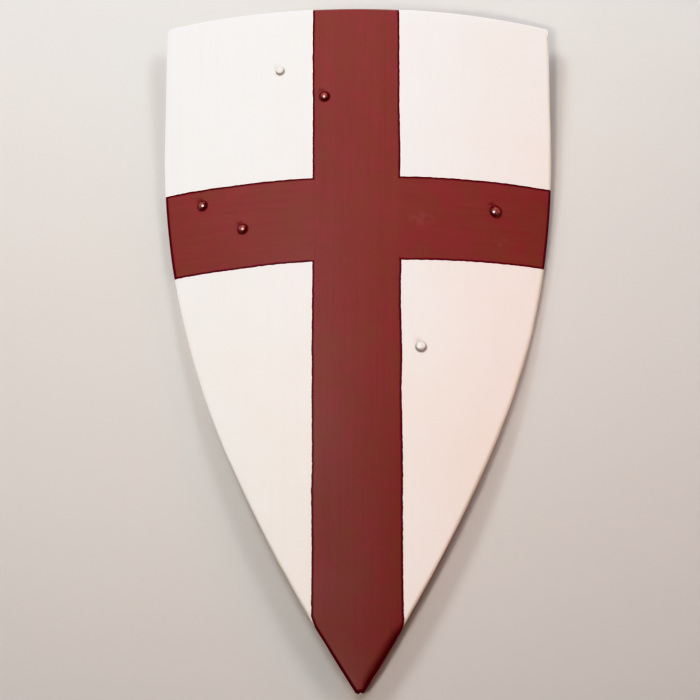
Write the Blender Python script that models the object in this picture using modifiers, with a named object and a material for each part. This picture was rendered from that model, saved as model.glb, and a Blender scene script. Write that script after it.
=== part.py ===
# A heater shield of bent wood with three riveted leather straps, lying face up.
# Metres, +Z up, top edge towards +Y. Places on the shield are an arc, measured across
# the face from its middle line, and a drop, measured down from the top edge.
import math

import bmesh
import bpy
from mathutils import Euler, Matrix, Vector

# Board
FACE_RADIUS = 0.477
BOARD_THICKNESS = 0.012
HALF_WIDTH = 0.230
SHOULDER_DROP = 0.147
SIDE_RADIUS = 0.993
JOIN_DROP = 0.547
POINT_RADIUS = 1.888
TIP_HALF_WIDTH = 0.005
EDGE_ROUND = 0.0036
CORNER_ROUND = 0.006
ROUND_STEPS = 3
OUTLINE_STEPS = 30
BOARD_COLUMNS = 18
BOARD_ROWS = 24
SMOOTH_ANGLE = 40

# How it lies: it rocks on its two side edges until its weight is over a small worn flat on each
BALANCE_DROP = 0.313
SLOPE_STEP = 0.01
FLAT_DEPTH = 0.0004
FLOOR_DEPTH = 0.05

# Rivets and washers
HEAD_HEIGHT = 0.0042
SHANK_RADIUS = 0.0022
TAIL_RADIUS = 0.0042
TAIL_HEIGHT = 0.0022
WASHER_RADIUS = 0.0085
WASHER_THICKNESS = 0.0015
HOLE_LENGTH = 0.048
TURN_STEPS = 16
DOME_STEPS = 4
MERGE_DISTANCE = 0.00001

# Straps
STRAP_THICKNESS = 0.0035
STRAP_TAB = 0.015
STRAP_LAND = 0.012
STRAP_CORNER = 0.007
STRAP_COLUMNS = 24
STRAP_ROWS = 2
STRAP_EDGE = 0.0007
STRAP_EDGE_ANGLE = 50

# Gaps between neighbouring pieces
GAP = 0.0003
STRAP_GAP = 0.0005

# Middle of each strap on the board, its slant, the distance between its rivets, its width,
# how far it stands off the board in the middle, and the radius of its rivets' heads
STRAPS = {
    "hand_strap_outer": {
        "arc": -0.1389, "drop": 0.1565, "slant": 59.4, "rivets": 0.1845,
        "width": 0.028, "lift": 0.030, "head": 0.0056,
    },
    "hand_strap_inner": {
        "arc": -0.0871, "drop": 0.1915, "slant": 58.8, "rivets": 0.185,
        "width": 0.028, "lift": 0.032, "head": 0.0056,
    },
    "forearm_strap": {
        "arc": 0.1169, "drop": 0.3316, "slant": 61.8, "rivets": 0.194,
        "width": 0.034, "lift": 0.022, "head": 0.0066,
    },
}

COLOURS = {
    "board": {"colour": (0.86, 0.82, 0.76, 1), "roughness": 0.45, "metallic": 0},
    "rivet": {"colour": (0.55, 0.53, 0.50, 1), "roughness": 0.40, "metallic": 1},
    "washer": {"colour": (0.60, 0.58, 0.55, 1), "roughness": 0.35, "metallic": 1},
    "leather": {"colour": (0.16, 0.07, 0.03, 1), "roughness": 0.60, "metallic": 0},
}


def clear_scene():
    for item in list(bpy.data.objects):
        bpy.data.objects.remove(item, do_unlink=True)


def make_collection(name):
    collection = bpy.data.collections.new(name)
    bpy.context.scene.collection.children.link(collection)
    return collection


def make_material(name):
    values = COLOURS[name]
    material = bpy.data.materials.new(name)
    material.use_nodes = True
    shader = material.node_tree.nodes["Principled BSDF"]
    shader.inputs["Base Color"].default_value = values["colour"]
    shader.inputs["Roughness"].default_value = values["roughness"]
    shader.inputs["Metallic"].default_value = values["metallic"]
    return material


def make_object(name, mesh, collection, material=None, parent=None):
    item = bpy.data.objects.new(name, mesh)
    collection.objects.link(item)
    item.parent = parent
    if material:
        mesh.materials.append(material)
    return item


def add_cut(item, cutter):
    cut = item.modifiers.new("Cut " + cutter.name, "BOOLEAN")
    cut.operation = "DIFFERENCE"
    cut.solver = "EXACT"
    cut.object = cutter


def hide_cutter(cutter):
    cutter.hide_render = True
    cutter.display_type = "WIRE"


# Outline of the board: parallel sides, then two arcs that meet smoothly and run to the point


def join_angle():
    return math.asin((JOIN_DROP - SHOULDER_DROP) / SIDE_RADIUS)


def point_arc_centre():
    """Half width and drop of the second arc's centre, on the line that both arcs' centres share."""
    reach = SIDE_RADIUS - POINT_RADIUS
    half = HALF_WIDTH - SIDE_RADIUS + reach * math.cos(join_angle())
    return half, SHOULDER_DROP + reach * math.sin(join_angle())


def half_width_at(drop):
    if drop <= SHOULDER_DROP:
        return HALF_WIDTH
    if drop <= JOIN_DROP:
        return HALF_WIDTH - SIDE_RADIUS + math.sqrt(SIDE_RADIUS ** 2 - (drop - SHOULDER_DROP) ** 2)
    half, centre_drop = point_arc_centre()
    return half + math.sqrt(POINT_RADIUS ** 2 - (drop - centre_drop) ** 2)


def drop_at(half_width):
    """How far down the second arc is this wide."""
    half, centre_drop = point_arc_centre()
    return centre_drop + math.sqrt(POINT_RADIUS ** 2 - (half_width - half) ** 2)


def on_shield(arc, drop, height):
    """A point at an arc and a drop, standing the given height off the face."""
    angle = arc / FACE_RADIUS
    radius = FACE_RADIUS + height
    return Vector((radius * math.sin(angle), -drop, radius * math.cos(angle) - FACE_RADIUS))


def arc_at(half_width):
    return FACE_RADIUS * math.asin(half_width / FACE_RADIUS)


def board_outline():
    """The flat board's outline as arcs and drops, down the right side and up the left one."""
    tip_drop = drop_at(TIP_HALF_WIDTH)
    drops = [tip_drop * i / OUTLINE_STEPS for i in range(OUTLINE_STEPS + 1)]
    right = [(arc_at(half_width_at(drop)), drop) for drop in drops]
    left = [(-arc, drop) for arc, drop in reversed(right)]
    return right + left


def round_corners(shape, corners, radius):
    bmesh.ops.bevel(
        shape, geom=corners, offset=radius, segments=ROUND_STEPS, profile=0.5, affect="VERTICES",
    )


def flat_board():
    """The board before it is bent: its outline, thick, with a rounded rim."""
    shape = bmesh.new()
    shape.faces.new([shape.verts.new((arc, -drop, 0)) for arc, drop in board_outline()])
    round_corners(shape, [point for point in shape.verts if point.co.y == 0], CORNER_ROUND)
    added = bmesh.ops.extrude_face_region(shape, geom=shape.faces[:], use_keep_orig=True)["geom"]
    lower = [item for item in added if isinstance(item, bmesh.types.BMVert)]
    bmesh.ops.translate(shape, verts=lower, vec=(0, 0, -BOARD_THICKNESS))
    bmesh.ops.recalc_face_normals(shape, faces=shape.faces)
    rim = [edge for edge in shape.edges if edge.verts[0].co.z == edge.verts[1].co.z]
    bmesh.ops.bevel(
        shape, geom=rim, offset=EDGE_ROUND, offset_type="OFFSET", segments=ROUND_STEPS, profile=0.5,
        affect="EDGES", clamp_overlap=False,
    )
    return shape


def cut_across(shape, direction, low, high, count):
    """Cuts the flat board into strips, so that it can bend."""
    for i in range(1, count):
        place = Vector(direction) * (low + (high - low) * i / count)
        everything = shape.verts[:] + shape.edges[:] + shape.faces[:]
        bmesh.ops.bisect_plane(
            shape, geom=everything, dist=MERGE_DISTANCE, plane_co=place, plane_no=direction,
        )


def make_board(collection, material, parent):
    mesh = bpy.data.meshes.new("shield_board")
    shape = flat_board()
    edge = arc_at(HALF_WIDTH)
    cut_across(shape, (1, 0, 0), -edge, edge, BOARD_COLUMNS)
    cut_across(shape, (0, 1, 0), -drop_at(TIP_HALF_WIDTH), 0, BOARD_ROWS)
    for point in shape.verts:
        point.co = on_shield(point.co.x, -point.co.y, point.co.z)
    bmesh.ops.triangulate(shape, faces=shape.faces[:])
    shape.to_mesh(mesh)
    shape.free()
    mesh.shade_smooth()
    mesh.set_sharp_from_angle(angle=math.radians(SMOOTH_ANGLE))
    return make_object("shield_board", mesh, collection, material, parent)


# Straps


def strap_place(strap, along, across):
    """Arc and drop of a point on a strap, along its length and across its width."""
    slant = math.radians(strap["slant"])
    arc = strap["arc"] + along * math.cos(slant) - across * math.sin(slant)
    drop = strap["drop"] - along * math.sin(slant) - across * math.cos(slant)
    return arc, drop


def strap_lift(strap, along):
    """How far the strap stands off the board: flat under its washers and arched between them."""
    reach = strap["rivets"] / 2 - STRAP_LAND
    if abs(along) >= reach:
        return 0
    return strap["lift"] * (1 - (along / reach) ** 2) ** 2


def make_strap(name, strap, collection, material, parent):
    mesh = bpy.data.meshes.new(name)
    shape = bmesh.new()
    half_length = strap["rivets"] / 2 + STRAP_TAB
    bmesh.ops.create_grid(shape, x_segments=STRAP_COLUMNS, y_segments=STRAP_ROWS, size=1)
    corners = [point for point in shape.verts if len(point.link_faces) == 1]
    for point in shape.verts:
        point.co = Vector((point.co.x * half_length, point.co.y * strap["width"] / 2, 0))
    round_corners(shape, corners, STRAP_CORNER)
    for point in shape.verts:
        along, across = point.co.x, point.co.y
        arc, drop = strap_place(strap, along, across)
        point.co = on_shield(arc, drop, -BOARD_THICKNESS - STRAP_GAP - strap_lift(strap, along))
    shape.to_mesh(mesh)
    shape.free()
    item = make_object(name, mesh, collection, material, parent)
    solid = item.modifiers.new("Thickness", "SOLIDIFY")
    solid.thickness = STRAP_THICKNESS
    solid.offset = -1
    rounding = item.modifiers.new("Skived edges", "BEVEL")
    rounding.width = STRAP_EDGE
    rounding.segments = 1
    rounding.limit_method = "ANGLE"
    rounding.angle_limit = math.radians(STRAP_EDGE_ANGLE)
    return item


# Rivets and washers are turned about their own Z, with the board's face at Z = 0


def turn_profile(name, profile, collection, material, parent):
    mesh = bpy.data.meshes.new(name)
    edges = [(i, i + 1) for i in range(len(profile) - 1)]
    mesh.from_pydata([(radius, 0, height) for radius, height in profile], edges, [])
    item = make_object(name, mesh, collection, material, parent)
    screw = item.modifiers.new("Turned", "SCREW")
    screw.steps = TURN_STEPS
    screw.render_steps = TURN_STEPS
    screw.use_merge_vertices = True
    screw.merge_threshold = MERGE_DISTANCE
    return item


def dome(radius, height, base, up):
    """Points of a round dome from its top to its rim, or from its rim to its lowest point."""
    sphere = (radius ** 2 + height ** 2) / (2 * height)
    spread = math.asin(radius / sphere)
    angles = [spread * i / DOME_STEPS for i in range(DOME_STEPS + 1)]
    points = [(sphere * math.sin(a), base + up * (sphere * math.cos(a) - sphere + height)) for a in angles]
    return points if up > 0 else points[::-1]


def washer_top():
    """Height of the washer's upper side, just behind the strap."""
    return -BOARD_THICKNESS - STRAP_THICKNESS - 2 * STRAP_GAP


def rivet_profile(head_radius):
    tail_base = washer_top() - WASHER_THICKNESS - GAP
    head = dome(head_radius, HEAD_HEIGHT, GAP, 1)
    tail = dome(TAIL_RADIUS, TAIL_HEIGHT, tail_base, -1)
    return head + [(SHANK_RADIUS, GAP), (SHANK_RADIUS, tail_base)] + tail


def washer_profile():
    inner = SHANK_RADIUS + GAP
    top = washer_top()
    low = top - WASHER_THICKNESS
    return [(inner, top), (WASHER_RADIUS, top), (WASHER_RADIUS, low), (inner, low), (inner, top)]


def stand_on_shield(item, arc, drop):
    item.location = on_shield(arc, drop, 0)
    item.rotation_euler = Euler((0, arc / FACE_RADIUS, 0))


def make_hole_cutter(name, collection, parent):
    bpy.ops.mesh.primitive_cylinder_add(vertices=TURN_STEPS, radius=SHANK_RADIUS + GAP, depth=HOLE_LENGTH)
    cutter = bpy.context.active_object
    cutter.name = name
    for old in list(cutter.users_collection):
        old.objects.unlink(cutter)
    collection.objects.link(cutter)
    cutter.parent = parent
    hide_cutter(cutter)
    return cutter


def fasten_strap(number, item, strap, board, parts, cutters, materials, parent):
    for letter, side in (("a", 1), ("b", -1)):
        label = f"{number}_{letter}"
        arc, drop = strap_place(strap, side * strap["rivets"] / 2, 0)
        profile = rivet_profile(strap["head"])
        rivet = turn_profile("rivet_" + label, profile, parts, materials["rivet"], parent)
        washer = turn_profile("washer_" + label, washer_profile(), parts, materials["washer"], parent)
        cutter = make_hole_cutter("hole_" + label, cutters, parent)
        for piece in (rivet, washer, cutter):
            stand_on_shield(piece, arc, drop)
        add_cut(board, cutter)
        add_cut(item, cutter)


# How the shield lies


def side_edge_height(drop):
    """Lowest height of the rounded side edge, at a drop, in the shield's own frame."""
    angle = math.asin(half_width_at(drop) / FACE_RADIUS)
    sharp = (FACE_RADIUS - BOARD_THICKNESS) * math.cos(angle) - FACE_RADIUS
    return sharp + EDGE_ROUND * (math.cos(angle) + math.sin(angle) - 1)


def rest_tilt():
    """The slope of the side edges where the shield balances on them."""
    rise = side_edge_height(BALANCE_DROP + SLOPE_STEP) - side_edge_height(BALANCE_DROP - SLOPE_STEP)
    return math.atan2(rise, 2 * SLOPE_STEP)


def lay_down(pose, board):
    """Tilts the shield and puts the bottom centre of its box at the origin."""
    tilt = Matrix.Rotation(rest_tilt(), 4, "X")
    shape = board.evaluated_get(bpy.context.evaluated_depsgraph_get()).to_mesh()
    points = [tilt @ vertex.co for vertex in shape.vertices]
    middle_y = (min(p.y for p in points) + max(p.y for p in points)) / 2
    lowest = min(p.z for p in points)
    pose.rotation_euler = Euler((rest_tilt(), 0, 0))
    pose.location = Vector((0, -middle_y, -lowest - FLAT_DEPTH))


def make_floor_cutter(collection):
    """A slab whose top is the surface the shield lies on, which wears the two flats."""
    bpy.ops.mesh.primitive_cube_add(size=1, location=(0, 0, -FLOOR_DEPTH / 2))
    cutter = bpy.context.active_object
    cutter.name = "floor"
    cutter.data.transform(Matrix.Diagonal((1, 1, FLOOR_DEPTH, 1)))
    for old in list(cutter.users_collection):
        old.objects.unlink(cutter)
    collection.objects.link(cutter)
    hide_cutter(cutter)
    return cutter


def main():
    clear_scene()
    parts = make_collection("wooden_shield")
    cutters = make_collection("cutters")
    materials = {name: make_material(name) for name in COLOURS}
    pose = bpy.data.objects.new("pose", None)
    parts.objects.link(pose)
    board = make_board(parts, materials["board"], pose)
    lay_down(pose, board)
    for number, (name, strap) in enumerate(STRAPS.items(), start=1):
        item = make_strap(name, strap, parts, materials["leather"], pose)
        fasten_strap(number, item, strap, board, parts, cutters, materials, pose)
    add_cut(board, make_floor_cutter(cutters))


main()
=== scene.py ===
# Looks of the bent heater shield: painted board, rivets, washers and leather straps
import math

import bmesh
import bpy
from mathutils import Matrix, Vector, noise
from mathutils.kdtree import KDTree


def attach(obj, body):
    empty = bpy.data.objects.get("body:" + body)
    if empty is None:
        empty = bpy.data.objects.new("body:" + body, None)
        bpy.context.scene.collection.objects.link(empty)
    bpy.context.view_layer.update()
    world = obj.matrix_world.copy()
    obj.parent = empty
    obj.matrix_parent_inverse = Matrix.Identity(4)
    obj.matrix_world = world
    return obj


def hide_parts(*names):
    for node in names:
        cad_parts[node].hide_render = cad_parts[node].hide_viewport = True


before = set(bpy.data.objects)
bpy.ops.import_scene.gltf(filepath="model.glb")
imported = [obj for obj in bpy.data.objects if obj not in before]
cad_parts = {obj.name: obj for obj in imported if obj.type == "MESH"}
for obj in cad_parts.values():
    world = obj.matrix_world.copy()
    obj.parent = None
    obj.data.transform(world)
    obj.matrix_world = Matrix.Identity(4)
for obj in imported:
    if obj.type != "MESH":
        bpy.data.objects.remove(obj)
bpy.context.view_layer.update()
print("frame loaded")

# the shield's own frame has its top edge at y 0 and the crown of its face at z 0
lying = {"tilt": math.radians(4.762410), "shift": (0, 0.400278, 0.086534)}
bend = {"radius": 0.477, "thickness": 0.012}
merging = {"cut": 0.000001, "turned": 0.00001}
layShield = Matrix.Translation(lying["shift"]) @ Matrix.Rotation(lying["tilt"], 4, "X")


def onShield(arc, drop, height):
    angle = arc / bend["radius"]
    reach = bend["radius"] + height
    return Vector((reach * math.sin(angle), -drop, reach * math.cos(angle) - bend["radius"]))


def standOnShield(arc, drop):  # for a piece made upright about Z
    turn = Matrix.Rotation(arc / bend["radius"], 4, "Y")
    return layShield @ Matrix.Translation(onShield(arc, drop, 0)) @ turn


def finishPiece(name, shape, materials, nodeName, smoothAngle):
    mesh = bpy.data.meshes.new(name)
    shape.to_mesh(mesh)
    shape.free()
    mesh.shade_smooth()
    mesh.set_sharp_from_angle(angle=math.radians(smoothAngle))
    for material in materials:
        mesh.materials.append(material)
    piece = bpy.data.objects.new(name, mesh)
    bpy.context.scene.collection.objects.link(piece)
    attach(piece, "root")
    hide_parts(nodeName)
    return piece


# wiring of shader nodes


def newMaterial(name):
    material = bpy.data.materials.new(name)
    material.use_nodes = True
    return material, material.node_tree, material.node_tree.nodes["Principled BSDF"]


def feed(tree, socket, value):
    if isinstance(value, bpy.types.NodeSocket):
        tree.links.new(value, socket)
    elif isinstance(value, tuple) and socket.type == "RGBA":
        socket.default_value = (*value, 1)
    else:
        socket.default_value = value


def calc(tree, operation, *values):
    node = tree.nodes.new("ShaderNodeMath")
    node.operation = operation
    for socket, value in zip(node.inputs, values):
        feed(tree, socket, value)
    return node.outputs[0]


def stretch(tree, vector, factors):
    node = tree.nodes.new("ShaderNodeVectorMath")
    node.operation = "MULTIPLY"
    feed(tree, node.inputs[0], vector)
    node.inputs[1].default_value = factors
    return node.outputs[0]


def distanceFrom(tree, vector, point):
    node = tree.nodes.new("ShaderNodeVectorMath")
    node.operation = "DISTANCE"
    tree.links.new(vector, node.inputs[0])
    node.inputs[1].default_value = point
    return node.outputs["Value"]


def speckle(tree, vector, scale, detail=2, roughness=0.5, distortion=0):
    # scale is one number, or three to draw the noise out along an axis
    if isinstance(scale, tuple):
        vector, scale = stretch(tree, vector, scale), 1
    node = tree.nodes.new("ShaderNodeTexNoise")
    feed(tree, node.inputs["Vector"], vector)
    node.inputs["Scale"].default_value = scale
    node.inputs["Detail"].default_value = detail
    node.inputs["Roughness"].default_value = roughness
    node.inputs["Distortion"].default_value = distortion
    return node.outputs["Fac"]


def cracks(tree, vector, scale):
    node = tree.nodes.new("ShaderNodeTexVoronoi")
    node.feature = "DISTANCE_TO_EDGE"
    feed(tree, node.inputs["Vector"], vector)
    node.inputs["Scale"].default_value = scale
    return node.outputs["Distance"]


def ease(tree, value, low, high, atLow=0.0, atHigh=1.0):  # a smooth step from atLow to atHigh
    node = tree.nodes.new("ShaderNodeMapRange")
    node.interpolation_type = "SMOOTHSTEP"
    feed(tree, node.inputs["Value"], value)
    node.inputs["From Min"].default_value = low
    node.inputs["From Max"].default_value = high
    node.inputs["To Min"].default_value = atLow
    node.inputs["To Max"].default_value = atHigh
    return node.outputs["Result"]


def blendColours(tree, share, first, second, mode="MIX"):
    node = tree.nodes.new("ShaderNodeMix")
    node.data_type = "RGBA"
    node.blend_type = mode
    feed(tree, node.inputs[0], share)
    feed(tree, node.inputs[6], first)
    feed(tree, node.inputs[7], second)
    return node.outputs[2]


def raiseRelief(tree, surface, height, distance):
    node = tree.nodes.new("ShaderNodeBump")
    node.inputs["Distance"].default_value = distance
    feed(tree, node.inputs["Height"], height)
    tree.links.new(node.outputs["Normal"], surface.inputs["Normal"])


def shieldPlace(tree):  # object coordinates turned back into the shield's own frame
    coordinates = tree.nodes.new("ShaderNodeTexCoord")
    node = tree.nodes.new("ShaderNodeMapping")
    node.vector_type = "TEXTURE"
    node.inputs["Location"].default_value = lying["shift"]
    node.inputs["Rotation"].default_value = (lying["tilt"], 0, 0)
    tree.links.new(coordinates.outputs["Object"], node.inputs["Vector"])
    return node.outputs[0]


# the straps first, because the board's paint has painted shade and a dent round their rivets
straps = {
    "handStrapOuter": {
        "node": "hand_strap_outer", "number": 1, "arc": -0.1389, "drop": 0.1565, "slant": 59.4,
        "rivets": 0.1845, "width": 0.028, "lift": 0.030, "headRadius": 0.0056,
    },
    "handStrapInner": {
        "node": "hand_strap_inner", "number": 2, "arc": -0.0871, "drop": 0.1915, "slant": 58.8,
        "rivets": 0.185, "width": 0.028, "lift": 0.032, "headRadius": 0.0056,
    },
    "forearmStrap": {
        "node": "forearm_strap", "number": 3, "arc": 0.1169, "drop": 0.3316, "slant": 61.8,
        "rivets": 0.194, "width": 0.034, "lift": 0.022, "headRadius": 0.0066,
    },
}


def strapPlace(strap, along, across):
    slant = math.radians(strap["slant"])
    arc = strap["arc"] + along * math.cos(slant) - across * math.sin(slant)
    drop = strap["drop"] - along * math.sin(slant) - across * math.cos(slant)
    return arc, drop


def makeSlab(outline, thickness, edgeRound, edgeSegments, cutsX, cutsY):
    # a flat board of the outline with rounded edges, its face at z 0, cut into a grid that can bend
    shape = bmesh.new()
    face = shape.faces.new([shape.verts.new((x, y, 0)) for x, y in outline])
    face.normal_update()
    if face.normal.z < 0:
        face.normal_flip()
    lower = bmesh.ops.extrude_face_region(shape, geom=[face], use_keep_orig=True)["geom"]
    lowerPoints = [item for item in lower if isinstance(item, bmesh.types.BMVert)]
    bmesh.ops.translate(shape, verts=lowerPoints, vec=(0, 0, -thickness))
    bmesh.ops.recalc_face_normals(shape, faces=shape.faces)
    rim = [edge for edge in shape.edges if abs(edge.verts[0].co.z - edge.verts[1].co.z) < thickness / 2]
    bmesh.ops.bevel(shape, geom=rim, offset=edgeRound, offset_type="OFFSET", segments=edgeSegments,
                    profile=0.5, affect="EDGES", clamp_overlap=False, material=-1)
    for axis, cuts in ((Vector((1, 0, 0)), cutsX), (Vector((0, 1, 0)), cutsY)):
        for cut in cuts:
            everything = shape.verts[:] + shape.edges[:] + shape.faces[:]
            bmesh.ops.bisect_plane(shape, geom=everything, dist=merging["cut"], plane_co=axis * cut,
                                   plane_no=axis)
    return shape


def evenSteps(low, high, step):
    count = max(1, round((high - low) / step))
    return [low + (high - low) * i / count for i in range(count + 1)]


# board
board = {
    "halfWidth": 0.230, "shoulder": 0.147, "sideRadius": 0.993, "join": 0.547, "pointRadius": 1.888,
    "tipHalfWidth": 0.0043, "leftCorner": 0.0062, "rightCorner": 0.0039, "cornerSteps": 8,
    "edgeRound": 0.0036, "edgeSegments": 6, "outlineStep": 0.004, "tipStep": 0.001,
    "columnWidth": 0.008, "rowHeight": 0.012,
    "rimSamples": 4, "smoothAngle": 60, "unevenness": 0.0004, "unevenScale": (3, 11, 5),
    "notchDepth": 0.0011, "notchPlace": 0.0010, "notchWidth": 0.0010, "notchReach": 0.0033,
    "lobe": 0.7, "lobePlace": 0.0012, "lobeWidth": 0.0016,
    # how far the outline strays aside, at drops from the top edge
    "sway": ((0, 0), (0.22, 0), (0.36, 0.0007), (0.58, 0), (0.72, 0), (0.76, 0.0009), (0.9, 0.0009)),
}


def pointArcCentre():
    lean = math.asin((board["join"] - board["shoulder"]) / board["sideRadius"])
    reach = board["sideRadius"] - board["pointRadius"]
    half = board["halfWidth"] - board["sideRadius"] + reach * math.cos(lean)
    return half, board["shoulder"] + reach * math.sin(lean)


def halfWidthAt(drop):
    if drop <= board["shoulder"]:
        return board["halfWidth"]
    if drop <= board["join"]:
        rise = drop - board["shoulder"]
        return board["halfWidth"] - board["sideRadius"] + math.sqrt(board["sideRadius"] ** 2 - rise ** 2)
    half, centreDrop = pointArcCentre()
    return half + math.sqrt(board["pointRadius"] ** 2 - (drop - centreDrop) ** 2)


def dropAt(halfWidth):
    half, centreDrop = pointArcCentre()
    return centreDrop + math.sqrt(board["pointRadius"] ** 2 - (halfWidth - half) ** 2)


def sideArc(drop):
    return bend["radius"] * math.asin(halfWidthAt(drop) / bend["radius"])


def topCorner(side, radius):  # from the top edge round to the side
    centre = sideArc(0) - radius
    turns = [math.radians(90) * i / board["cornerSteps"] for i in range(board["cornerSteps"])]
    return [(side * (centre + radius * math.sin(turn)), radius * math.cos(turn) - radius) for turn in turns]


def swayAt(drop):  # how far the outline's middle strays from the shield's middle line
    for (high, first), (low, second) in zip(board["sway"], board["sway"][1:]):
        if drop <= low:
            share = (drop - high) / (low - high)
            return first + (second - first) * share ** 2 * (3 - 2 * share)
    return 0


def sideOutline(side, corner):
    points = []
    for drop in evenSteps(corner, dropAt(board["tipHalfWidth"]), board["outlineStep"]):
        uneven = noise.noise(Vector((side, drop, 1)) * Vector(board["unevenScale"])) * board["unevenness"]
        points.append((side * (sideArc(drop) + uneven) + swayAt(drop), -drop))
    return points


def boardOutline():  # once round, from the top edge's right end
    right = topCorner(1, board["rightCorner"]) + sideOutline(1, board["rightCorner"])
    left = topCorner(-1, board["leftCorner"]) + sideOutline(-1, board["leftCorner"])
    across = evenSteps(right[-1][0], left[-1][0], -board["tipStep"])
    return right + [(x, right[-1][1]) for x in across[1:-1]] + left[::-1]


def markRimGap(shape, outline):  # how far each point lies inside the outline, for the paint near the edge
    samples = board["rimSamples"]
    tree = KDTree(len(outline) * samples)
    for i, (start, end) in enumerate(zip(outline, outline[1:] + outline[:1])):
        for step in range(samples):
            tree.insert(Vector((*start, 0)).lerp(Vector((*end, 0)), step / samples), i * samples + step)
    tree.balance()
    layer = shape.verts.layers.float.new("rimGap")
    for vertex in shape.verts:
        vertex[layer] = tree.find((vertex.co.x, vertex.co.y, 0))[2]


def makeBoard(material):
    outline = boardOutline()
    columns = evenSteps(-sideArc(0), sideArc(0), board["columnWidth"])[1:-1]
    rows = evenSteps(outline[len(outline) // 2][1], 0, board["rowHeight"])[1:-1]
    shape = makeSlab(outline, bend["thickness"], board["edgeRound"], board["edgeSegments"], columns, rows)
    markRimGap(shape, outline)
    tip = min(vertex.co.y for vertex in shape.verts)
    tipMiddle = swayAt(-tip)
    for vertex in shape.verts:
        x, y, z = vertex.co
        nearTip = math.exp(-((y - tip) / board["notchReach"]) ** 2)
        right = (x - tipMiddle - board["notchPlace"]) / board["notchWidth"]
        left = (x - tipMiddle + board["lobePlace"]) / board["lobeWidth"]
        y += board["notchDepth"] * nearTip * (math.exp(-right ** 2) - board["lobe"] * math.exp(-left ** 2))
        vertex.co = onShield(x, -y, z)
    bmesh.ops.transform(shape, matrix=layShield, verts=shape.verts)
    for vertex in shape.verts:
        vertex.co.z = max(vertex.co.z, 0)  # the sides are worn flat where the shield rocks on them
    return finishPiece("shieldBoard", shape, [material], "shield_board", board["smoothAngle"])


# paint: a white ground, a hand-painted red cross, bare varnished wood behind
cross = {
    "left": -0.0536, "leftDrift": -0.0021,  # edges of the upright, and how they lean per metre
    "right": 0.0487, "rightDrift": -0.0011,
    "upper": -0.2123, "upperSlope": 0.0199,  # edges of the arms, which rise to the right
    "lower": -0.3150, "lowerSlope": 0.0294,
    "wander": 0.0010, "wanderScale": 14, "shake": 0.0005, "shakeScale": 160, "soft": 0.0004,
    "armJoin": 0.004,  # brush strokes turn from upright to crosswise over this
    "wrap": -0.739,  # below this the red goes round the rim, above it a strip of white is left
    "strip": 0.0036, "stripSlope": 0.21, "stripStart": -0.60, "stripFade": 0.05, "stripOff": -9,
    # each fade runs from one measure to another, and then gives its values at the two
    "line": (0.0013, 0.0034, 0.95, 0), "rimLineAndShade": (0.0014, 0.0034, 0.95, 0),
    # the band on the right of the tip is painted shade, where the rounded rim turns from the light
    "tipShadeBand": (0.0012, 0.0120, 0.95, 0),
    "tipShadeAcross": (0.001, 0.008), "tipShadeDown": (-0.750, -0.728, 1, 0),
}
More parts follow.
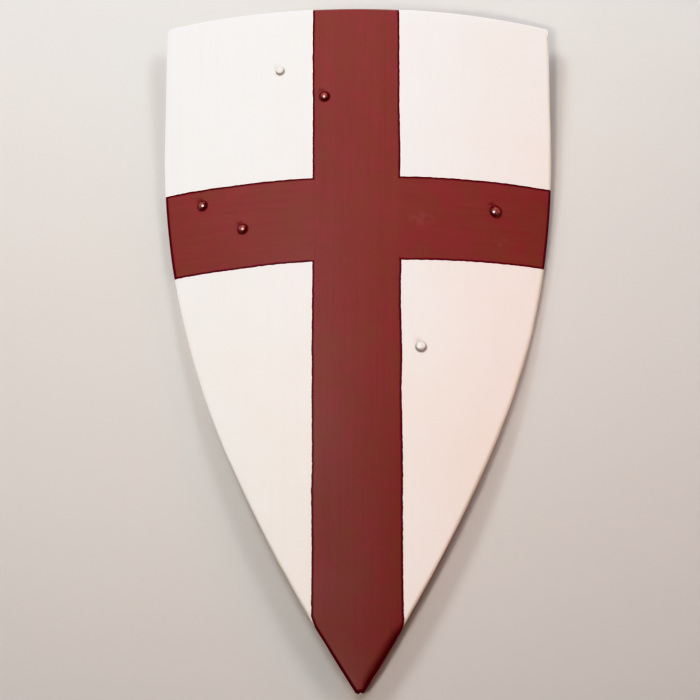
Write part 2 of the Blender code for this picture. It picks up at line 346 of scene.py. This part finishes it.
paint = {
    "white": (0.893, 0.889, 0.889), "whiteWarm": (0.862, 0.807, 0.757), "whiteStreak": (0.74, 0.70, 0.64),
    # this row holds colours of painted shade, at the rim of the white and round the rivet heads
    "whiteRimShade": (0.50, 0.46, 0.36), "ringShade": (0.30, 0.26, 0.23),
    "red": (0.195, 0.054, 0.051), "redDark": (0.169, 0.046, 0.044), "redLine": (0.055, 0.002, 0.008),
    "redWine": (0.207, 0.048, 0.053), "redBrown": (0.169, 0.054, 0.042), "redPaintedShade": (0.034, 0.003, 0.003),
    "scuff": (0.27, 0.095, 0.085), "whiteRoughness": 0.48, "redRoughness": 0.46, "specular": 0.04,
    # noises: scale, detail, roughness, distortion
    "grain": ((300, 6, 40), 3, 0.6), "bands": ((75, 1.6, 10), 3, 0.55, 0.2),
    "strokes": ((9, 190, 10), 3, 0.6), "cloud": (8, 3), "patches": ((34, 30, 30), 3, 0.6, 0.4),
    "scuffCloud": (21, 3, 0.6), "scuffGrain": (90, 3, 0.6), "shadeSmearGrain": (210, 2), "wear": (9, 4),
    "raggedNoise": (45, 3),
    # how much of each goes into the streaks
    "bandShare": 0.35, "grainShare": 0.35, "cloudShare": 0.30, "armContrast": 0.36, "uprightContrast": 0.65,
    # the red: streaks, patches, and painted light, a slow change to paler on the left arm and darker at the
    # tip
    "streakFade": (0.30, 0.70), "wineFade": (0.50, 0.64, 0, 0.48), "brownFade": (0.50, 0.38, 0, 0.48),
    "leftLightFade": (-0.05, -0.20, 1, 1.08), "tipShadeFade": (-0.30, -0.72, 0, 0.08),
    "scuffs": ((0.072, -0.262), (0.163, -0.283)), "scuffReach": 0.022, "scuffSquash": 1.8, "scuffShare": 0.40,
    "scuffFade": (0.66, 0.82), "scuffGrainFade": (0.42, 0.62),
    # the white: yellowed patches, a warm tint towards the bottom and the right that is partly yellowing and
    # partly painted warm light, streaks, and painted shade along the rim near the right
    "agedCloud": (0.35, 0.70, 0, 0.35), "agedAndLitDown": (-0.10, -0.70, 0, 0.65),
    "agedAndLitAcross": (0, 0.20, -0.15, 0.25), "streakedWhite": (0.38, 0.50, 0.12, 0),
    "topFade": (-0.012, -0.005, 1, 0), "turnedAway": (0.04, 0.18, 0, 0.0020),
    "rimShadeCloud": (0.3, 0.6, 0.5, 1), "rimShadeReach": (0.0002, 0.0050, 0.85, 0),
    "rimShadeAcross": (-0.05, 0.10, 0.15, 1),
    # at the rivets: a ring of painted shade, a painted shadow beside it, and a dent
    "headRingShade": (0.0008, 0.0020, 0.75, 0), "ringOnWhite": 0.50, "headDent": (0, 0.007, -0.8, 0),
    "shadeSmearPlace": (-0.0040, 0.0066, 0), "shadeSmear": (-0.005, 0.0015, 0.55, 0), "shadeSmearGrainFade": (0.3, 0.6),
    # roughness and relief
    "wearFade": (0.3, 0.7, -0.05, 0.07), "coat": 0.15, "streakRelief": 0.5, "relief": 0.00022,
    # the paint stops here, on the rim's round towards the back
    "reach": -0.0098, "reachFade": 0.0003, "ragged": (0.25, 0.75, -0.0009, 0.0009),
}
bareWood = {
    "light": (0.42, 0.24, 0.11), "dark": (0.21, 0.10, 0.042), "pore": (0.09, 0.04, 0.018),
    "roughness": 0.38, "specular": 0.5, "wave": ((9, 1.1, 9), 2, 0.5, 1.2), "fibre": ((420, 7, 420), 2),
    "rings": 11, "ringFade": (0, 1, 0.25, 0.95), "poreFade": (0.56, 0.68, 0, 0.6), "fibreRelief": 0.25,
}


def blendNumbers(tree, share, first, second):
    node = tree.nodes.new("ShaderNodeMix")
    feed(tree, node.inputs[0], share)
    feed(tree, node.inputs[2], first)
    feed(tree, node.inputs[3], second)
    return node.outputs[0]


def attributeValue(tree, name):
    node = tree.nodes.new("ShaderNodeAttribute")
    node.attribute_name = name
    return node.outputs["Fac"]


def total(tree, *parts):
    result = parts[0]
    for part in parts[1:]:
        result = calc(tree, "ADD", result, part)
    return result


def crossDepth(tree, place, x, y, rimGap):
    # how far inside the red a point is, in metres, and less than nothing outside it
    wander = ease(tree, speckle(tree, place, cross["wanderScale"]), 0, 1, -cross["wander"], cross["wander"])
    shake = ease(tree, speckle(tree, place, cross["shakeScale"]), 0, 1, -cross["shake"], cross["shake"])
    left = calc(tree, "MULTIPLY_ADD", y, cross["leftDrift"], cross["left"])
    right = calc(tree, "MULTIPLY_ADD", y, cross["rightDrift"], cross["right"])
    upper = calc(tree, "MULTIPLY_ADD", x, cross["upperSlope"], cross["upper"])
    lower = calc(tree, "MULTIPLY_ADD", x, cross["lowerSlope"], cross["lower"])
    upright = calc(tree, "MINIMUM", calc(tree, "SUBTRACT", x, left), calc(tree, "SUBTRACT", right, x))
    arms = calc(tree, "MINIMUM", calc(tree, "SUBTRACT", upper, y), calc(tree, "SUBTRACT", y, lower))
    depth = total(tree, calc(tree, "MAXIMUM", upright, arms), wander, shake)
    narrowing = calc(tree, "MULTIPLY", calc(tree, "SUBTRACT", y, cross["wrap"]), cross["stripSlope"])
    strip = calc(tree, "MINIMUM", narrowing, cross["strip"])
    begin = cross["stripStart"] - cross["stripFade"]
    started = ease(tree, y, begin, cross["stripStart"], 1, cross["stripOff"])
    strip = calc(tree, "MULTIPLY", strip, started)
    stripDepth = total(tree, rimGap, calc(tree, "MULTIPLY", strip, -1), shake)
    return calc(tree, "MINIMUM", depth, stripDepth), upright


def headGap(tree, place, shift=(0, 0, 0)):
    # distance from the edge of the nearest rivet head, or of a spot beside it
    nearest = 1.0
    for strap in straps.values():
        for side in (-1, 1):
            centre = onShield(*strapPlace(strap, side * strap["rivets"] / 2, 0), 0) + Vector(shift)
            gap = calc(tree, "SUBTRACT", distanceFrom(tree, place, centre), strap["headRadius"])
            nearest = calc(tree, "MINIMUM", nearest, gap)
    return nearest


def readPoint(tree):  # what the board's shaders need to know of each point
    place = shieldPlace(tree)
    split = tree.nodes.new("ShaderNodeSeparateXYZ")
    tree.links.new(place, split.inputs[0])
    x, y = split.outputs[0], split.outputs[1]
    rimGap = attributeValue(tree, "rimGap")
    depth, upright = crossDepth(tree, place, x, y, rimGap)
    turnedAway = ease(tree, calc(tree, "ABSOLUTE", x), *paint["turnedAway"])
    return {
        "place": place, "x": x, "y": y, "rimGap": rimGap, "depth": depth, "upright": upright,
        "sideGap": calc(tree, "SUBTRACT", rimGap, turnedAway), "belowTop": ease(tree, y, *paint["topFade"]),
        "nearHead": headGap(tree, place), "cloud": speckle(tree, place, *paint["cloud"]),
    }


def brushMarks(tree, point):
    # fine upright grain shows through all the paint, brush strokes run along the arms
    grain = speckle(tree, point["place"], *paint["grain"])
    bands = speckle(tree, point["place"], *paint["bands"])
    strokes = speckle(tree, point["place"], *paint["strokes"])
    lines = total(tree, calc(tree, "MULTIPLY", bands, paint["bandShare"]),
                  calc(tree, "MULTIPLY", grain, paint["grainShare"]),
                  calc(tree, "MULTIPLY", point["cloud"], paint["cloudShare"]))
    crosswise = calc(tree, "MULTIPLY", calc(tree, "SUBTRACT", strokes, 0.5), paint["armContrast"])
    downward = calc(tree, "MULTIPLY", calc(tree, "SUBTRACT", lines, 0.5), paint["uprightContrast"])
    onArms = ease(tree, point["upright"], -cross["armJoin"], cross["armJoin"], 1, 0)
    return lines, calc(tree, "ADD", blendNumbers(tree, onArms, downward, crosswise), 0.5)


def scuffMarks(tree, place):
    squash = paint["scuffSquash"]
    scuffed = ease(tree, speckle(tree, place, *paint["scuffCloud"]), *paint["scuffFade"])
    for scuffX, scuffY in paint["scuffs"]:
        away = distanceFrom(tree, stretch(tree, place, (1, squash, 0)), (scuffX, squash * scuffY, 0))
        scuffed = calc(tree, "MAXIMUM", scuffed, ease(tree, away, 0, paint["scuffReach"], 1, 0))
    broken = ease(tree, speckle(tree, place, *paint["scuffGrain"]), *paint["scuffGrainFade"])
    return calc(tree, "MULTIPLY", calc(tree, "MULTIPLY", scuffed, broken), paint["scuffShare"])


def mixRed(tree, point, streaks):
    patches = speckle(tree, point["place"], *paint["patches"])
    red = blendColours(tree, ease(tree, streaks, *paint["streakFade"]), paint["redDark"], paint["red"])
    red = blendColours(tree, ease(tree, patches, *paint["wineFade"]), red, paint["redWine"])
    red = blendColours(tree, ease(tree, patches, *paint["brownFade"]), red, paint["redBrown"])
    red = blendColours(tree, scuffMarks(tree, point["place"]), red, paint["scuff"])
    # painted light: the red is made paler on the left arm and darker towards the tip
    tone = calc(tree, "SUBTRACT", ease(tree, point["x"], *paint["leftLightFade"]),
                ease(tree, point["y"], *paint["tipShadeFade"]))
    red = blendColours(tree, 1.0, red, tone, "MULTIPLY")

    # dark lines along the edges, the one along the rim partly painted shade, and a band of painted shade on
    # the right of the tip
    tipShadeSide = calc(tree, "MULTIPLY", ease(tree, point["x"], *cross["tipShadeAcross"]),
                    ease(tree, point["y"], *cross["tipShadeDown"]))
    tipShadeBand = calc(tree, "MULTIPLY", ease(tree, point["rimGap"], *cross["tipShadeBand"]), tipShadeSide)
    red = blendColours(tree, tipShadeBand, red, paint["redPaintedShade"])
    borderLine = ease(tree, point["depth"], *cross["line"])
    # the line along the rim is partly a painted outline and partly painted shade of the rounded rim, left off
    # the lit top edge
    rimLineAndShade = calc(tree, "MULTIPLY", ease(tree, point["sideGap"], *cross["rimLineAndShade"]), point["belowTop"])
    return blendColours(tree, calc(tree, "MAXIMUM", borderLine, rimLineAndShade), red, paint["redLine"])


def mixWhite(tree, point, lines):
    # the warm tint towards the bottom and the right is partly yellowed paint and partly painted warm light
    agedAndWarmLit = total(tree, ease(tree, point["cloud"], *paint["agedCloud"]),
                 ease(tree, point["y"], *paint["agedAndLitDown"]), ease(tree, point["x"], *paint["agedAndLitAcross"]))
    white = blendColours(tree, calc(tree, "MAXIMUM", agedAndWarmLit, 0), paint["white"], paint["whiteWarm"])
    white = blendColours(tree, ease(tree, lines, *paint["streakedWhite"]), white, paint["whiteStreak"])
    # painted shade along the rim, broken into patches, mostly on the right and never at the top edge
    rubbedAndShaded = calc(tree, "MULTIPLY", point["belowTop"], ease(tree, point["cloud"], *paint["rimShadeCloud"]))
    rubbedAndShaded = calc(tree, "MULTIPLY", rubbedAndShaded, ease(tree, point["sideGap"], *paint["rimShadeReach"]))
    rubbedAndShaded = calc(tree, "MULTIPLY", rubbedAndShaded, ease(tree, point["x"], *paint["rimShadeAcross"]))
    return blendColours(tree, rubbedAndShaded, white, paint["whiteRimShade"])


# painted shade round each rivet head: a dark ring, and a painted shadow up and to the left
def addHeadShade(tree, point, isRed, painted):
    ring = ease(tree, point["nearHead"], *paint["headRingShade"])
    ring = calc(tree, "MULTIPLY", ring, ease(tree, isRed, 0, 1, paint["ringOnWhite"], 1))
    shadeSmear = ease(tree, headGap(tree, point["place"], paint["shadeSmearPlace"]), *paint["shadeSmear"])
    broken = ease(tree, speckle(tree, point["place"], *paint["shadeSmearGrain"]), *paint["shadeSmearGrainFade"])
    shadeSmear = calc(tree, "MULTIPLY", shadeSmear, broken)
    ringShade = blendColours(tree, isRed, paint["ringShade"], paint["redLine"])
    return blendColours(tree, calc(tree, "MAXIMUM", ring, shadeSmear), painted, ringShade)


def mixWood(tree, place):
    wave = speckle(tree, place, *bareWood["wave"])
    rings = calc(tree, "PINGPONG", calc(tree, "MULTIPLY", wave, bareWood["rings"]), 1)
    fibre = speckle(tree, place, *bareWood["fibre"])
    wood = blendColours(tree, ease(tree, rings, *bareWood["ringFade"]), bareWood["dark"], bareWood["light"])
    return blendColours(tree, ease(tree, fibre, *bareWood["poreFade"]), wood, bareWood["pore"]), fibre


def paintShare(tree, place):  # height off the bent face tells paint from bare wood
    axisGap = distanceFrom(tree, stretch(tree, place, (1, 0, 1)), (0, 0, -bend["radius"]))
    ragged = ease(tree, speckle(tree, place, *paint["raggedNoise"]), *paint["ragged"])
    height = total(tree, axisGap, -bend["radius"], ragged)
    return ease(tree, height, paint["reach"] - paint["reachFade"], paint["reach"] + paint["reachFade"])


def makeBoardMaterial():
    material, tree, surface = newMaterial("paintedBoard")
    point = readPoint(tree)
    lines, streaks = brushMarks(tree, point)
    isRed = ease(tree, point["depth"], -cross["soft"], cross["soft"])
    painted = blendColours(tree, isRed, mixWhite(tree, point, lines), mixRed(tree, point, streaks))
    painted = addHeadShade(tree, point, isRed, painted)
    wood, fibre = mixWood(tree, point["place"])
    isPaint = paintShare(tree, point["place"])
    feed(tree, surface.inputs["Base Color"], blendColours(tree, isPaint, wood, painted))

    worn = ease(tree, speckle(tree, point["place"], *paint["wear"]), *paint["wearFade"])
    paintRoughness = ease(tree, isRed, 0, 1, paint["whiteRoughness"], paint["redRoughness"])
    paintRoughness = calc(tree, "ADD", paintRoughness, worn)
    difference = calc(tree, "SUBTRACT", paintRoughness, bareWood["roughness"])
    roughness = calc(tree, "MULTIPLY_ADD", difference, isPaint, bareWood["roughness"])
    feed(tree, surface.inputs["Roughness"], roughness)
    specular = ease(tree, isPaint, 0, 1, bareWood["specular"], paint["specular"])
    feed(tree, surface.inputs["Specular IOR Level"], specular)

    coat = calc(tree, "MULTIPLY", calc(tree, "MULTIPLY", isRed, isPaint), paint["coat"])
    dent = ease(tree, point["nearHead"], *paint["headDent"])
    pores = calc(tree, "MULTIPLY", fibre, bareWood["fibreRelief"])
    marks = calc(tree, "MULTIPLY_ADD", streaks, paint["streakRelief"], pores)
    raiseRelief(tree, surface, total(tree, marks, coat, dent), paint["relief"])
    return material


makeBoard(makeBoardMaterial())
print("board done")


# straps of brown leather behind the board
leather = {
    "thickness": 0.0035, "tab": 0.015, "land": 0.012, "corner": 0.007, "gap": 0.0004, "cornerSteps": 6,
    "edgeRound": 0.0009, "edgeSegments": 3, "lengthStep": 0.0025, "ripple": 0.0004,
    "grooveInset": 0.0032, "grooveDepth": 0.0004, "grooveWidth": 0.0006,
    "pressed": 0.0005, "pressedReach": 0.012,
    "rippleScale": (60, 40, 5), "rippleLift": 0.004,  # ripples begin where the strap has risen this far
    "grooveSide": 0.7,  # share of the thickness that the grooves leave alone
    "brown": (0.115, 0.048, 0.021), "dark": (0.045, 0.018, 0.009), "rubbedAndShaded": (0.215, 0.105, 0.050),
    "edge": (0.022, 0.010, 0.006), "blotches": (38, 4, 0.6), "creases": ((260, 30, 1), 3), "grainScale": 900,
    "polished": (0.0, 0.075, 1, 0), "brownFade": (0.35, 0.7), "rubbedFade": (0.42, 0.66), "rubbedShare": 0.75,
    "edgeFade": (0.0004, 0.0016, 0.85, 0), "grooveFade": (0.0002, 0.0009, 0.6, 0),
    "roughFade": (0.3, 0.7, 0.52, 0.38), "pitFade": (0, 0.12), "pitRelief": 0.5, "creaseRelief": 0.8,
    "relief": 0.0003, "smoothAngle": 60,
}


def strapLift(strap, along):
    reach = strap["rivets"] / 2 - leather["land"]
    return strap["lift"] * max(0, 1 - (along / reach) ** 2) ** 2


def makeLeather():
    material, tree, surface = newMaterial("strapLeather")
    unwrapped = tree.nodes.new("ShaderNodeUVMap").outputs[0]
    split = tree.nodes.new("ShaderNodeSeparateXYZ")
    tree.links.new(unwrapped, split.inputs[0])
    along = split.outputs[0]
    blotch = speckle(tree, unwrapped, *leather["blotches"])
    creases = speckle(tree, unwrapped, *leather["creases"])
    middle = ease(tree, calc(tree, "ABSOLUTE", along), *leather["polished"])  # hands polish the middle
    colour = blendColours(tree, ease(tree, blotch, *leather["brownFade"]), leather["dark"], leather["brown"])
    rubbedAndShaded = calc(tree, "MULTIPLY", middle, ease(tree, creases, *leather["rubbedFade"]))
    rubbedAndShaded = calc(tree, "MULTIPLY", rubbedAndShaded, leather["rubbedShare"])
    colour = blendColours(tree, rubbedAndShaded, colour, leather["rubbedAndShaded"])
    edgeGap = attributeValue(tree, "edgeGap")
    edge = ease(tree, edgeGap, *leather["edgeFade"])
    offGroove = calc(tree, "ABSOLUTE", calc(tree, "SUBTRACT", edgeGap, leather["grooveInset"]))
    groove = ease(tree, offGroove, *leather["grooveFade"])
    colour = blendColours(tree, calc(tree, "MAXIMUM", edge, groove), colour, leather["edge"])
    feed(tree, surface.inputs["Base Color"], colour)
    feed(tree, surface.inputs["Roughness"], ease(tree, blotch, *leather["roughFade"]))
    grain = cracks(tree, unwrapped, leather["grainScale"])
    pits = calc(tree, "MULTIPLY", ease(tree, grain, *leather["pitFade"]), leather["pitRelief"])
    relief = calc(tree, "MULTIPLY_ADD", creases, leather["creaseRelief"], pits)
    raiseRelief(tree, surface, relief, leather["relief"])
    return material


def strapOutline(halfLength, halfWidth):
    corner = leather["corner"]
    points = []
    for quarter, (sideX, sideY) in enumerate(((1, 1), (-1, 1), (-1, -1), (1, -1))):
        for i in range(leather["cornerSteps"] + 1):
            turn = math.radians(90) * (quarter + i / leather["cornerSteps"])
            points.append((sideX * (halfLength - corner) + corner * math.cos(turn),
                           sideY * (halfWidth - corner) + corner * math.sin(turn)))
    return points


def edgeDistance(point, halfLength, halfWidth):  # how far a point lies inside the round-cornered outline
    corner = leather["corner"]
    out = abs(point.x) - (halfLength - corner)
    up = abs(point.y) - (halfWidth - corner)
    if out > 0 and up > 0:
        return corner - math.hypot(out, up)
    return corner - max(out, up)


def makeStrap(name, strap, material):
    halfLength = strap["rivets"] / 2 + leather["tab"]
    halfWidth = strap["width"] / 2
    columns = evenSteps(-halfLength, halfLength, leather["lengthStep"])[1:-1]
    grooveRows = [halfWidth - leather["grooveInset"] + leather["grooveWidth"] * i for i in (-2, -1, 0, 1, 2)]
    rows = [-row for row in grooveRows] + grooveRows + [0, -halfWidth / 3, halfWidth / 3]
    shape = makeSlab(strapOutline(halfLength, halfWidth), leather["thickness"], leather["edgeRound"],
                     leather["edgeSegments"], columns, rows)
    unwrapped = shape.loops.layers.uv.new("strapPlace")
    for face in shape.faces:
        for loop in face.loops:
            loop[unwrapped].uv = loop.vert.co.xy
    edgeGap = shape.verts.layers.float.new("edgeGap")
    for vertex in shape.verts:
        along, across, depth = vertex.co
        vertex[edgeGap] = edgeDistance(vertex.co, halfLength, halfWidth)
        outer = -depth / leather["thickness"]  # 0 on the side at the board, 1 on the side that is seen
        off = (vertex[edgeGap] - leather["grooveInset"]) / leather["grooveWidth"]
        facing = max(0, outer - leather["grooveSide"]) / (1 - leather["grooveSide"])
        groove = leather["grooveDepth"] * math.exp(-off ** 2) * facing
        rivetGap = math.hypot(abs(along) - strap["rivets"] / 2, across)
        pressed = leather["pressed"] * math.exp(-(rivetGap / leather["pressedReach"]) ** 2) * outer
        free = min(1, strapLift(strap, along) / leather["rippleLift"])
        waves = noise.noise(Vector((along, across, strap["number"])) * Vector(leather["rippleScale"]))
        dents = groove + pressed + leather["ripple"] * free * waves
        height = -bend["thickness"] - leather["gap"] - strapLift(strap, along) + depth + dents
        vertex.co = onShield(*strapPlace(strap, along, across), height)
    bmesh.ops.transform(shape, matrix=layShield, verts=shape.verts)
    return finishPiece(name, shape, [material], strap["node"], leather["smoothAngle"])


strapLeather = makeLeather()
for strapName, strap in straps.items():
    makeStrap(strapName, strap, strapLeather)
print("straps done")


# rivets: a painted dome on the face, a shank, and a tail hammered over a washer behind the strap
rivet = {
    "headHeight": 0.0042, "skirt": 0.0006, "sink": 0.0003, "shank": 0.0022, "tailRadius": 0.0042,
    "tailHeight": 0.0022, "washerRadius": 0.0085, "washerThickness": 0.0015, "washerRound": 0.0003,
    "shankOverlap": 0.0002, "washerNip": 0.0001, "steps": 48, "smoothAngle": 50, "washerSmoothAngle": 35,
    "knock": 0.00008, "knockScale": 330, "knockSeed": 90, "knockFrom": 0.25,  # hammer marks, head and tail
    # the heads' edges carry painted shade, wider towards the lower right
    "whiteHeads": ("1_a", "3_b"), "shadeSide": (0.7, -0.7), "shadeLean": 0.16,
    "red": (0.27, 0.062, 0.058), "redRimShade": (0.035, 0.002, 0.002),
    "white": (0.90, 0.87, 0.83), "whiteRimShade": (0.30, 0.29, 0.28), "rimShadeFade": (0.42, 0.94), "gloss": 1.0,
    "mottle": (260, 3), "mottleFade": (0.4, 0.7), "mottleTone": 0.80, "headRough": (0.3, 0.7, 0.20, 0.28),
    "headGrain": (420, 2), "headRelief": 0.00004,
    "paintedTo": 0.00045,  # the head's paint ends this far below the board's face
    "steel": (0.46, 0.44, 0.41), "steelDark": (0.20, 0.17, 0.14), "stain": (150, 4, 0.65),
    "stainFade": (0.42, 0.68), "steelRough": (0, 1, 0.38, 0.62),
    "steelGrain": (700, 3), "steelRelief": 0.0002,
}


def makeHeadPaint(name, colour, rimShadeColour):
    material, tree, surface = newMaterial(name)
    place = shieldPlace(tree)
    mottle = speckle(tree, place, *rivet["mottle"])
    darker = tuple(channel * rivet["mottleTone"] for channel in colour)
    top = blendColours(tree, ease(tree, mottle, *rivet["mottleFade"]), colour, darker)
    reach = attributeValue(tree, "headShadeReach")
    # painted shade darkens the head towards its edge
    head = blendColours(tree, ease(tree, reach, *rivet["rimShadeFade"]), top, rimShadeColour)
    feed(tree, surface.inputs["Base Color"], head)
    feed(tree, surface.inputs["Roughness"], ease(tree, mottle, *rivet["headRough"]))
    raiseRelief(tree, surface, speckle(tree, place, *rivet["headGrain"]), rivet["headRelief"])
    surface.inputs["Specular IOR Level"].default_value = rivet["gloss"]
    return material


def makeSteel():
    material, tree, surface = newMaterial("washerSteel")
    place = shieldPlace(tree)
    stain = ease(tree, speckle(tree, place, *rivet["stain"]), *rivet["stainFade"])
    feed(tree, surface.inputs["Base Color"], blendColours(tree, stain, rivet["steel"], rivet["steelDark"]))
    surface.inputs["Metallic"].default_value = 1
    feed(tree, surface.inputs["Roughness"], ease(tree, stain, *rivet["steelRough"]))
    raiseRelief(tree, surface, speckle(tree, place, *rivet["steelGrain"]), rivet["steelRelief"])
    return material


def turnShape(profile, steps):
    shape = bmesh.new()
    points = [shape.verts.new((radius, 0, height)) for radius, height in profile]
    edges = [shape.edges.new(pair) for pair in zip(points, points[1:])]
    bmesh.ops.spin(shape, geom=points + edges, cent=(0, 0, 0), axis=(0, 0, 1), angle=math.tau, steps=steps,
                   use_merge=True)
    bmesh.ops.remove_doubles(shape, verts=shape.verts, dist=merging["turned"])
    bmesh.ops.recalc_face_normals(shape, faces=shape.faces)
    return shape


def domeProfile(radius, height, base, steps=9):
    sphere = (radius ** 2 + height ** 2) / (2 * height)
    spread = math.asin(radius / sphere)
    angles = [spread * i / steps for i in range(steps + 1)]
    return [(sphere * math.sin(angle), base + sphere * math.cos(angle) - sphere + height) for angle in angles]


def makeRivet(label, headRadius, toPlace, headPaint, steel):
    washerTop = -bend["thickness"] - leather["gap"] - leather["thickness"]
    tailBase = washerTop - rivet["washerThickness"]
    head = domeProfile(headRadius, rivet["headHeight"], 0)
    skirt = [(headRadius + rivet["skirt"], -rivet["sink"])]
    shank = [(rivet["shank"], -rivet["sink"]), (rivet["shank"], tailBase + rivet["shankOverlap"])]
    tailDome = domeProfile(rivet["tailRadius"], rivet["tailHeight"], tailBase)
    tail = [(radius, 2 * tailBase - height) for radius, height in tailDome]
    shape = turnShape(head + skirt + shank + tail[::-1], rivet["steps"])
    headShadeReach = shape.verts.layers.float.new("headShadeReach")
    for vertex in shape.verts:
        outward = vertex.co.xy / headRadius
        # painted shade reaches further in towards the lower right
        vertex[headShadeReach] = outward.length + rivet["shadeLean"] * outward.dot(Vector(rivet["shadeSide"]))
        seed = Vector((len(label), toPlace.translation.x * rivet["knockSeed"], 0))
        knock = noise.noise(vertex.co * rivet["knockScale"] + seed)
        if vertex.co.z < tailBase or vertex.co.z > rivet["headHeight"] * rivet["knockFrom"]:
            vertex.co.z += rivet["knock"] * knock
    for face in shape.faces:
        face.material_index = 0 if face.calc_center_median().z > -rivet["paintedTo"] else 1
    bmesh.ops.transform(shape, matrix=toPlace, verts=shape.verts)
    name = "rivet" + label.replace("_", "")
    return finishPiece(name, shape, [headPaint, steel], "rivet_" + label,
                       rivet["smoothAngle"])


def makeWasher(label, toPlace, steel):
    top = -bend["thickness"] - leather["gap"] - leather["thickness"] + rivet["washerNip"]
    low = top - rivet["washerThickness"]
    inner, outer, curve = rivet["shank"], rivet["washerRadius"], rivet["washerRound"]
    profile = [(inner, top), (outer - curve, top), (outer, top - curve), (outer, low + curve),
               (outer - curve, low), (inner, low), (inner, top)]
    shape = turnShape(profile, rivet["steps"])
    bmesh.ops.transform(shape, matrix=toPlace, verts=shape.verts)
    name = "washer" + label.replace("_", "")
    return finishPiece(name, shape, [steel], "washer_" + label, rivet["washerSmoothAngle"])


steel = makeSteel()
headPaints = {"white": makeHeadPaint("whiteHead", rivet["white"], rivet["whiteRimShade"]),
              "red": makeHeadPaint("redHead", rivet["red"], rivet["redRimShade"])}
for strap in straps.values():
    for letter, side in (("a", 1), ("b", -1)):
        label = f"{strap['number']}_{letter}"
        toPlace = standOnShield(*strapPlace(strap, side * strap["rivets"] / 2, 0))
        headPaint = headPaints["white" if label in rivet["whiteHeads"] else "red"]
        makeRivet(label, strap["headRadius"], toPlace, headPaint, steel)
        makeWasher(label, toPlace, steel)
print("rivets done")


# floor, light and camera
studio = {
    "floorSize": 9, "floorColour": (0.54, 0.53, 0.51), "floorDark": (0.50, 0.49, 0.47),
    "floorHeight": -0.0002,  # just under the worn flats of the sides
    "floorNoise": (3, 4), "floorFade": (0.3, 0.7, 0, 0.12), "floorRoughness": 0.85,
    "world": (0.95, 0.93, 0.93), "worldStrength": 0.17,
}
lights = {
    "topLeft": {
        "place": (-0.90, 1.50, 1.25), "aim": (0, 0.25, 0.05), "size": 0.6, "spread": 180, "power": 33.5,
        "colour": (0.93, 0.966, 1.0), "diffuse": True, "glossy": False,
    },
    "topRight": {
        "place": (0.90, 1.50, 1.25), "aim": (0, 0.25, 0.05), "size": 0.6, "spread": 180, "power": 22.5,
        "colour": (0.945, 0.977, 1.0), "diffuse": True, "glossy": False,
    },
    "front": {
        "place": (-0.98, -1.05, 2.38), "aim": (0, 0.40, 0.05), "size": 0.42, "spread": 60, "power": 4.7,
        "colour": (1.0, 0.86, 0.74), "diffuse": True, "glossy": False,
    },
    "glint": {  # shows only in what shines, as the rivets' heads do
        "place": (-0.70, -0.10, 2.40), "aim": (0, 0, 0.05), "size": 0.8, "spread": 180, "power": 185,
        "colour": (1.0, 0.93, 0.90), "diffuse": False, "glossy": True,
    },
    "warm": {
        "place": (2.6, -0.3, 0.9), "aim": (0.1, -0.15, 0.05), "size": 1.0, "spread": 40, "power": 1.9,
        "colour": (1.0, 0.46, 0.38), "diffuse": True, "glossy": False,
    },
}
view = {
    "distance": 2.75, "pitch": math.radians(17.36), "lens": 125.1, "sensor": 36,
    "target": (-0.0095, -0.4208, -0.0061),
}


def makeFloor():
    material, tree, surface = newMaterial("paleFloor")
    coordinates = tree.nodes.new("ShaderNodeTexCoord").outputs["Object"]
    tone = ease(tree, speckle(tree, coordinates, *studio["floorNoise"]), *studio["floorFade"])
    colour = blendColours(tree, tone, studio["floorColour"], studio["floorDark"])
    feed(tree, surface.inputs["Base Color"], colour)
    surface.inputs["Roughness"].default_value = studio["floorRoughness"]
    shape = bmesh.new()
    bmesh.ops.create_grid(shape, x_segments=1, y_segments=1, size=studio["floorSize"] / 2)
    bmesh.ops.translate(shape, verts=shape.verts, vec=(0, 0, studio["floorHeight"]))
    mesh = bpy.data.meshes.new("floor")
    shape.to_mesh(mesh)
    shape.free()
    mesh.materials.append(material)
    floor = bpy.data.objects.new("floor", mesh)
    bpy.context.scene.collection.objects.link(floor)


def makeLight(name, values):
    lamp = bpy.data.lights.new(name, "AREA")
    lamp.shape = "DISK"
    lamp.size = values["size"]
    lamp.spread = math.radians(values["spread"])
    lamp.energy = values["power"]
    lamp.color = values["colour"]
    light = bpy.data.objects.new(name, lamp)
    light.visible_diffuse = values["diffuse"]
    light.visible_glossy = values["glossy"]
    light.location = values["place"]
    light.rotation_euler = (Vector(values["aim"]) - light.location).to_track_quat("-Z", "Y").to_euler()
    bpy.context.scene.collection.objects.link(light)


def makeWorld():
    world = bpy.data.worlds.new("studio")
    world.use_nodes = True
    background = world.node_tree.nodes["Background"]
    background.inputs["Color"].default_value = (*studio["world"], 1)
    background.inputs["Strength"].default_value = studio["worldStrength"]
    bpy.context.scene.world = world


def makeCamera():
    camera = bpy.data.objects.new("camera", bpy.data.cameras.new("camera"))
    camera.data.lens = view["lens"]
    camera.data.sensor_width = view["sensor"]
    turn = Matrix.Rotation(view["pitch"], 4, "X")
    back = Matrix.Translation((0, 0, view["distance"]))
    camera.matrix_world = layShield @ Matrix.Translation(view["target"]) @ turn @ back
    bpy.context.scene.collection.objects.link(camera)
    bpy.context.scene.camera = camera


makeFloor()
for lightName, lightValues in lights.items():
    makeLight(lightName, lightValues)
makeWorld()
makeCamera()
bpy.context.scene.view_settings.view_transform = "Khronos PBR Neutral"  # keeps the paint's own colours
print("studio done")
